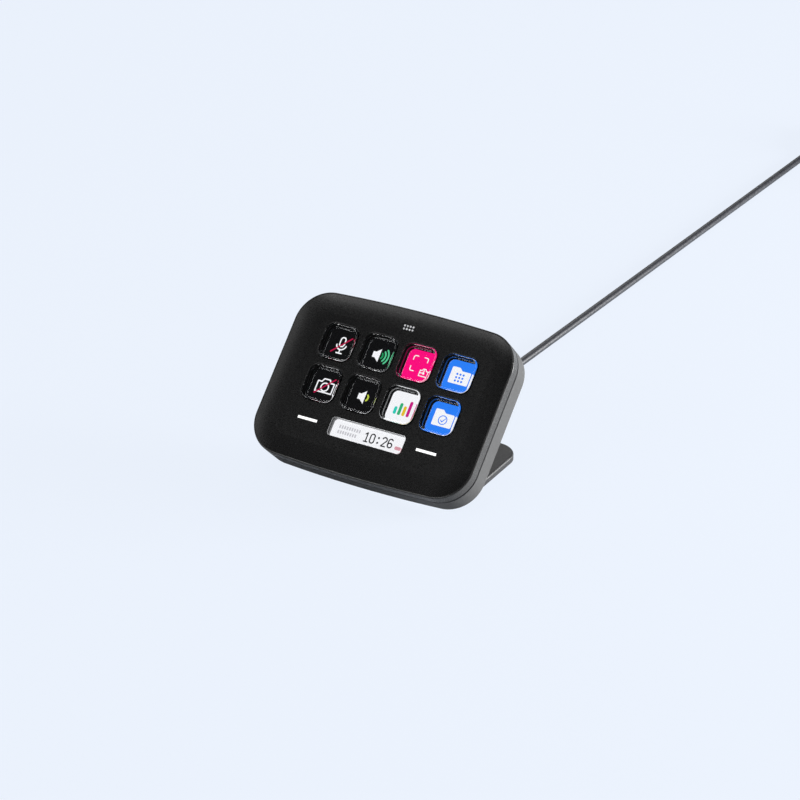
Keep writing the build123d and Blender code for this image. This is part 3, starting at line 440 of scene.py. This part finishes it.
def screen_picture(name, layers, materials, middle):
    """A picture on the screen: layers of outlines, each a little higher, in their own colours."""
    mesh = bpy.data.meshes.new(name)
    work = bmesh.new()
    for number, (outlines, index) in enumerate(layers, start=1):
        for outline in outlines:
            corners = [
                work.verts.new(on_face(middle[0] + x, middle[1] + y, SCREEN + number * LAYER))
                for x, y in outline
            ]
            face = work.faces.new(corners)
            face.material_index = index
    bmesh.ops.triangulate(work, faces=[f for f in work.faces if len(f.verts) > 4])
    work.normal_update()
    turned_in = [f for f in work.faces if f.normal.dot(Vector(FACE_OUT)) < 0]
    bmesh.ops.reverse_faces(work, faces=turned_in)
    work.to_mesh(mesh)
    work.free()
    piece = bpy.data.objects.new(name, mesh)
    bpy.context.scene.collection.objects.link(piece)
    for material in materials:
        mesh.materials.append(material)
    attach(piece, "keypad")


# ---- Pictures under the keys ----
LIT = {
    "blue": lit_pixels("pixels_blue", "#2b84ff", 1.05),
    "pink": lit_pixels("pixels_pink", "#ff007c", 1.12),
    "white": lit_pixels("pixels_white", "#f6f5f7", 1.15),
    "black": lit_pixels("pixels_black", "#050507", 0.5),
    "crimson": lit_pixels("pixels_crimson", "#c4144a"),
    "green": lit_pixels("pixels_green", "#1fa060"),
    "mint": lit_pixels("pixels_mint", "#58d096"),
    "lime": lit_pixels("pixels_lime", "#c9d94a"),
    "teal": lit_pixels("pixels_teal", "#2fd3c0"),
    "leaf": lit_pixels("pixels_leaf", "#35b97c"),
    "yellow": lit_pixels("pixels_yellow", "#f0c62a"),
    "magenta": lit_pixels("pixels_magenta", "#d3198a"),
    "grey": lit_pixels("pixels_grey", "#d3d1d6"),
    "ink": lit_pixels("pixels_ink", "#17181c"),
    "rose": lit_pixels("pixels_rose", "#e3a0ac"),
}
LINE, THIN_LINE = 0.6, 0.42  # drawn lines of the pictures
SLASH = stroke([(-3.9, -3.6), (3.9, 4.0)], LINE)


def microphone():
    """A microphone on its stand, drawn in lines."""
    capsule = arc(0, 2.5, 1.15, 0, 180, 12) + arc(0, 0.6, 1.15, 180, 360, 12)
    holder = arc(0, 0.4, 2.35, 190, 350, 14)
    return (
        stroke(capsule, LINE, closed=True)
        + stroke(holder, LINE)
        + stroke([(0, -1.95), (0, -3.5)], LINE)
        + stroke([(-1.3, -3.6), (1.3, -3.6)], LINE)
    )


def both_sides(left):
    """A drawn outline from its left half, mirrored to the right."""
    return left + [(-x, y) for x, y in reversed(left)]


def photo_camera():
    """A camera seen from the front, drawn in lines."""
    left = [(-4.0, -2.7), (-4.0, 1.9), (-2.2, 1.9), (-1.4, 3.3)]
    lens = stroke(arc(0, -0.3, 1.8, 0, 345, 23), LINE, closed=True)
    return stroke(both_sides(left), LINE, closed=True) + lens


def loudspeaker(x):
    """A loudspeaker from the side, filled and without its waves."""
    low = [(x - 2.4, -1.3), (x - 1.1, -1.3), (x + 1.0, -3.0)]
    return [low + [(a, -b) for a, b in reversed(low)]]


def folder():
    """A folder with its tab, filled."""
    outline = (
        arc(-4.0, -2.9, 0.6, 180, 270, 4)
        + arc(4.0, -2.9, 0.6, 270, 360, 4)
        + arc(4.0, 1.9, 0.6, 0, 90, 4)
        + [(0.3, 2.5), (-1.1, 3.8)]
        + arc(-4.0, 3.2, 0.6, 90, 180, 4)
    )
    return [outline]


def scan_frame(x, y, half):
    """The four corners of a square of lines."""
    leg = half * 0.55
    return [
        shape
        for i in (-1, 1)
        for j in (-1, 1)
        for shape in stroke(
            [
                (x + i * (half - leg), y + j * half),
                (x + i * (half - 0.5), y + j * half),
                (x + i * half, y + j * (half - 0.5)),
                (x + i * half, y + j * (half - leg)),
            ],
            THIN_LINE,
        )
    ]


def small_camera(x, y):
    """A little camera in thin lines."""
    body = both_sides([(-1.9, -1.5), (-1.9, 1.0), (-1.0, 1.0), (-0.6, 1.8)])
    lens = disc(x, y - 0.2, 0.45)
    return stroke([(x + a, y + b) for a, b in body], THIN_LINE, closed=True) + lens


tile = rounded_box(0, 0, TILE, TILE, TILE_R)
dots = [disc(i * 1.5, j * 1.5 - 0.6, 0.48)[0] for i in (-1, 0, 1) for j in (-1, 0, 1)]
chart = [
    rounded_box(-3.15 + i * 2.1, (h - 7.0) / 2, 1.4, h, 0.6)
    for i, h in enumerate((3.4, 5.4, 4.4, 7.0))
]
tick = stroke([(-0.9, -0.8), (-0.2, -1.5), (1.1, 0.2)], 0.4)
PICTURES = [
    [("black", tile), ("white", microphone()), ("crimson", SLASH)],
    [
        ("black", tile),
        ("white", loudspeaker(-1.3)),
        ("green", bow(-0.6, 0, 1.7, 0.75, -42, 42)),
        ("mint", bow(-0.6, 0, 3.1, 0.75, -42, 42) + bow(-0.6, 0, 4.5, 0.75, -42, 42)),
    ],
    [("pink", tile), ("white", scan_frame(-0.6, 0.7, 3.4) + small_camera(2.9, -2.6))],
    [("blue", tile), ("white", folder()), ("blue", dots)],
    [("black", tile), ("white", photo_camera()), ("crimson", SLASH)],
    [("black", tile), ("white", loudspeaker(-0.4)), ("lime", bow(0.3, 0, 1.8, 0.8, -42, 42))],
    [
        ("white", tile),
        ("teal", chart[0]),
        ("leaf", chart[1]),
        ("yellow", chart[2]),
        ("magenta", chart[3]),
    ],
    [
        ("blue", tile),
        ("white", folder()),
        ("blue", stroke(arc(0, -0.6, 1.9, 0, 345, 23), 0.4, closed=True) + tick),
    ],
]
for number, layers in enumerate(PICTURES):
    colours = sorted({colour for colour, _ in layers})
    column, row = number % 4, number // 4
    screen_picture(
        f"picture_{number + 1}",
        [(outlines, colours.index(colour)) for colour, outlines in layers],
        [LIT[colour] for colour in colours],
        ((column - 1.5) * KEY_PITCH, KEY_GRID_V + (0.5 - row) * KEY_PITCH),
    )

# ---- Clock picture and the light under the bars ----
DIGIT_W, DIGIT_H = 1.9, 3.95
COLON_R = 0.46
DIGIT_STROKES = {
    "1": [[(0.35, DIGIT_H - 0.7), (1.15, DIGIT_H), (1.15, 0.0)], [(0.3, 0.0), (2.0, 0.0)]],
    "0": [
        arc(1.0, DIGIT_H - 1, 1.0, 0, 180, 10)
        + arc(1.0, 1.0, 1.0, 180, 360, 10)
        + [(DIGIT_W, DIGIT_H - 1)]
    ],
    "2": [arc(1.0, DIGIT_H - 1, 1.0, 165, -35, 10) + [(0.0, 0.0), (DIGIT_W, 0.0)]],
    "6": [
        arc(1.0, 1.15, 1.0, 180, 540, 20),
        [(0.0, 1.15)] + arc(1.0, DIGIT_H - 1, 1.0, 180, 35, 8),
    ],
}


def number_text(text, x, y, pitch, width):
    """Plain digits drawn as strokes, with a colon of two dots."""
    shapes = []
    for sign in text:
        if sign == ":":
            middle = x + DIGIT_W / 2
            shapes += disc(middle, y + 0.8, COLON_R) + disc(middle, y + 3.0, COLON_R)
        else:
            for points in DIGIT_STROKES[sign]:
                shapes += stroke([(x + a, y + b) for a, b in points], width)
        x += pitch
    return shapes


clock_sheet = rounded_box(0, 0, 36.4, 8.8, 0.8)
# Two rows of short bars stand for the small print of a date.
date_lines = [
    rounded_box(-14.8 + column * 1.2, 1.5 - row * 2.4, 0.75, 1.5, 0.2)[0]
    for row, count in enumerate((9, 8))
    for column in range(count)
]
screen_picture(
    "clock_picture",
    [
        (clock_sheet, 3),
        (date_lines, 0),
        (number_text("10:26", -2.3, -1.9, 2.9, 0.56), 1),
        (rounded_box(14.4, -1.1, 2.9, 1.5, 0.5), 2),
    ],
    [LIT["grey"], LIT["ink"], LIT["rose"], LIT["white"]],
    (0.0, BAR_V),
)
for side, x in (("left", -LIGHT_X), ("right", LIGHT_X)):
    screen_picture(
        f"bar_light_{side}",
        [(rounded_box(0, 0, LIGHT_W, LIGHT_H, 0.2), 0)],
        [LIT["white"]],
        (x, BAR_V),
    )


# ---- Print above the keys: two rows of four dots, one for each key ----
def dish_rise(v):
    """How far the face has risen at a height above its middle, on the centre line."""
    run = max(0.0, v - (FACE_H / 2 - DISH_W))
    radius = (DISH_W**2 + DISH**2) / (2 * DISH)
    return radius - sqrt(radius**2 - run**2)


# Pad-printed ink: chalky white, slightly uneven.
white_ink = plain_finish("ink_pad_printed_white", "#e9e9ea", "#f4f4f4", 0.3, (0.5, 0.6), 0.004)
mesh = bpy.data.meshes.new("face_print")
work = bmesh.new()
for i in range(4):
    for j in range(2):
        x, v = (i - 1.5) * DOT_PITCH, PRINT_V + (j - 0.5) * DOT_PITCH
        ring = disc(x, v, DOT_R)[0]
        low, high = (
            [work.verts.new(on_face(a, b, height + dish_rise(b))) for a, b in ring]
            for height in (-PRINT, PRINT)
        )
        work.faces.new(high)
        work.faces.new(low[::-1])
        for k in range(len(ring)):
            n = (k + 1) % len(ring)
            work.faces.new((low[k], low[n], high[n], high[k]))
bmesh.ops.recalc_face_normals(work, faces=work.faces)
work.to_mesh(mesh)
work.free()
mesh.materials.append(white_ink)
face_print = bpy.data.objects.new("face_print", mesh)
bpy.context.scene.collection.objects.link(face_print)
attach(face_print, "keypad")

# ---- Cord: one smooth line from the gland along the desk into its tied coil ----
route = [Vector(point) for point in ROUTE]
run_dir = (route[5] - route[4]).normalized()
right_dir = Vector((run_dir.y, -run_dir.x, 0.0))
bend_reach = (route[4] - route[3]).length
turn_out = COIL_R + CORD_D
coil_mid = route[5] + run_dir * STUB + right_dir * turn_out
line = route[:5] + [route[4] + run_dir * bend_reach, route[5]]


def slot_place(turn):
    """Distance from the coil's middle and height of the cord at a turn, changing slots smoothly."""
    slot = min(int(turn + SLOT_CHANGE / 2), len(COIL_SLOTS) - 1)
    share = (turn + SLOT_CHANGE / 2 - slot) / SLOT_CHANGE
    before, after = COIL_SLOTS[max(slot - 1, 0)], COIL_SLOTS[slot]
    ease = 1.0 if slot == 0 or share > 1 else share * share * (3 - 2 * share)
    row = before[0] + (after[0] - before[0]) * ease
    layer = before[1] + (after[1] - before[1]) * ease
    return COIL_R + row * CORD_D, CORD_D * (layer + 0.5)


for step in range(int(COIL_TURNS * COIL_STEPS) + 1):
    turn = step / COIL_STEPS
    distance, height = slot_place(turn)
    swing = 2 * pi * turn
    spot = coil_mid - right_dir * distance * cos(swing) + run_dir * distance * sin(swing)
    line.append(Vector((spot.x, spot.y, height)))
tail_start = line[-1]
grip_start = tail_start - run_dir * GRIP_GAP + Vector((0, 0, GRIP_H / 2 - tail_start.z))
line += [
    tail_start - run_dir * TAIL_LEAD - Vector((0, 0, TAIL_DROP)),
    grip_start + run_dir * TAIL_LEAD,
    grip_start,
]

cord_curve = bpy.data.curves.new("usb_lead", "CURVE")
cord_curve.dimensions = "3D"
cord_curve.bevel_depth = CORD_D / 2 / 1000
cord_curve.bevel_resolution = 5
cord_curve.resolution_u = 6
cord_curve.use_fill_caps = True
spline = cord_curve.splines.new("NURBS")
spline.points.add(len(line) - 1)
for point, place in zip(spline.points, line):
    point.co = (*(place / 1000), 1.0)
spline.order_u = 3
spline.use_endpoint_u = True
spline.use_smooth = True
cord = bpy.data.objects.new("usb_lead", cord_curve)
bpy.context.scene.collection.objects.link(cord)
cord_curve.materials.append(FINISHES["cord_jacket"])
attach(cord, "keypad")
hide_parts("usb_cord", "cord_coil")

# ---- Camera, floor and lights ----
CAMERA_AT = (500.048, -834.957, 532.11)
CAMERA_TURN, CAMERA_DOWN = radians(30.74), radians(27.22)
camera_data = bpy.data.cameras.new("camera")
camera_data.sensor_width = 36.0
camera_data.lens = 116.375
camera_data.clip_end = 50.0
camera = bpy.data.objects.new("camera", camera_data)
camera.location = mm(*CAMERA_AT)
camera.rotation_euler = (pi / 2 - CAMERA_DOWN, 0.0, CAMERA_TURN)
bpy.context.scene.collection.objects.link(camera)
bpy.context.scene.camera = camera

BACKDROP = "#ecf3fe"
SEEN_GLOW, MIRRORED_GLOW = 0.94, 0.05  # share of the paper's own tone, seen and in reflections
FLOOR_HALF = 8.0  # metres


def backdrop():
    """Pale paper: it takes the object's shadow softly and keeps its own even tone."""
    made, tree, shader, _ = finish_named("backdrop_paper")
    shader.inputs["Base Color"].default_value = srgb("#e6ecf5")
    shader.inputs["Roughness"].default_value = 0.9
    shader.inputs["Specular IOR Level"].default_value = 0.1
    path = add_node(tree, "LightPath")
    seen = add_node(
        tree,
        "Math",
        [(0, path.outputs["Is Camera Ray"]), (1, path.outputs["Is Transmission Ray"])],
        operation="MAXIMUM",
    )
    seen = add_node(tree, "Math", [(0, seen.outputs[0])], operation="MULTIPLY")
    seen.inputs[1].default_value = SEEN_GLOW
    # Mirrored, the paper keeps more of its shadow, so the housing's underside stays dark.
    mirrored = add_node(tree, "Math", [(0, path.outputs["Is Glossy Ray"])], operation="MULTIPLY")
    mirrored.inputs[1].default_value = MIRRORED_GLOW
    share = add_node(
        tree, "Math", [(0, seen.outputs[0]), (1, mirrored.outputs[0])], operation="MAXIMUM"
    )
    glow = add_node(tree, "Emission", Color=srgb(BACKDROP), Strength=1.0)
    mix = add_node(
        tree,
        "MixShader",
        [(0, share.outputs[0]), (1, shader.outputs["BSDF"]), (2, glow.outputs["Emission"])],
    )
    tree.links.new(mix.outputs["Shader"], tree.nodes["Material Output"].inputs["Surface"])
    return made


floor_mesh = bpy.data.meshes.new("floor")
floor_mesh.from_pydata(
    [(i * FLOOR_HALF, j * FLOOR_HALF, 0.0) for i, j in ((-1, -1), (1, -1), (1, 1), (-1, 1))],
    [],
    [(0, 1, 2, 3)],
)
floor_mesh.materials.append(backdrop())
floor = bpy.data.objects.new("floor", floor_mesh)
bpy.context.scene.collection.objects.link(floor)

world = bpy.data.worlds.new("studio")
bpy.context.scene.world = world
world.use_nodes = True
world.node_tree.nodes["Background"].inputs["Color"].default_value = srgb("#f2f5fa")
world.node_tree.nodes["Background"].inputs["Strength"].default_value = 0.08


def softbox(name, place, width, height, power):
    """A soft lamp at a place in metres, facing the middle of the pad."""
    light = bpy.data.lights.new(name, "AREA")
    light.shape = "RECTANGLE"
    light.size, light.size_y = width, height
    light.energy = power
    lamp = bpy.data.objects.new(name, light)
    lamp.location = place
    lamp.rotation_euler = (MIDDLE - lamp.location).to_track_quat("-Z", "Y").to_euler()
    bpy.context.scene.collection.objects.link(lamp)


MIDDLE = mm(0, 0, 35)
softbox("softbox_above", (0.06, -0.36, 1.0), 0.7, 0.8, 2.5)
softbox("softbox_top", (-0.52, 0.22, 0.95), 0.2, 0.12, 0.5)
softbox("softbox_front", (-0.46, -0.96, 0.52), 0.9, 0.5, 4.4)
softbox("softbox_back", (-0.52, 0.86, 0.56), 0.9, 0.7, 2.8)
softbox("softbox_right", (0.95, 0.55, 0.14), 0.5, 0.5, 44.0)

bpy.context.scene.view_settings.view_transform = "Standard"
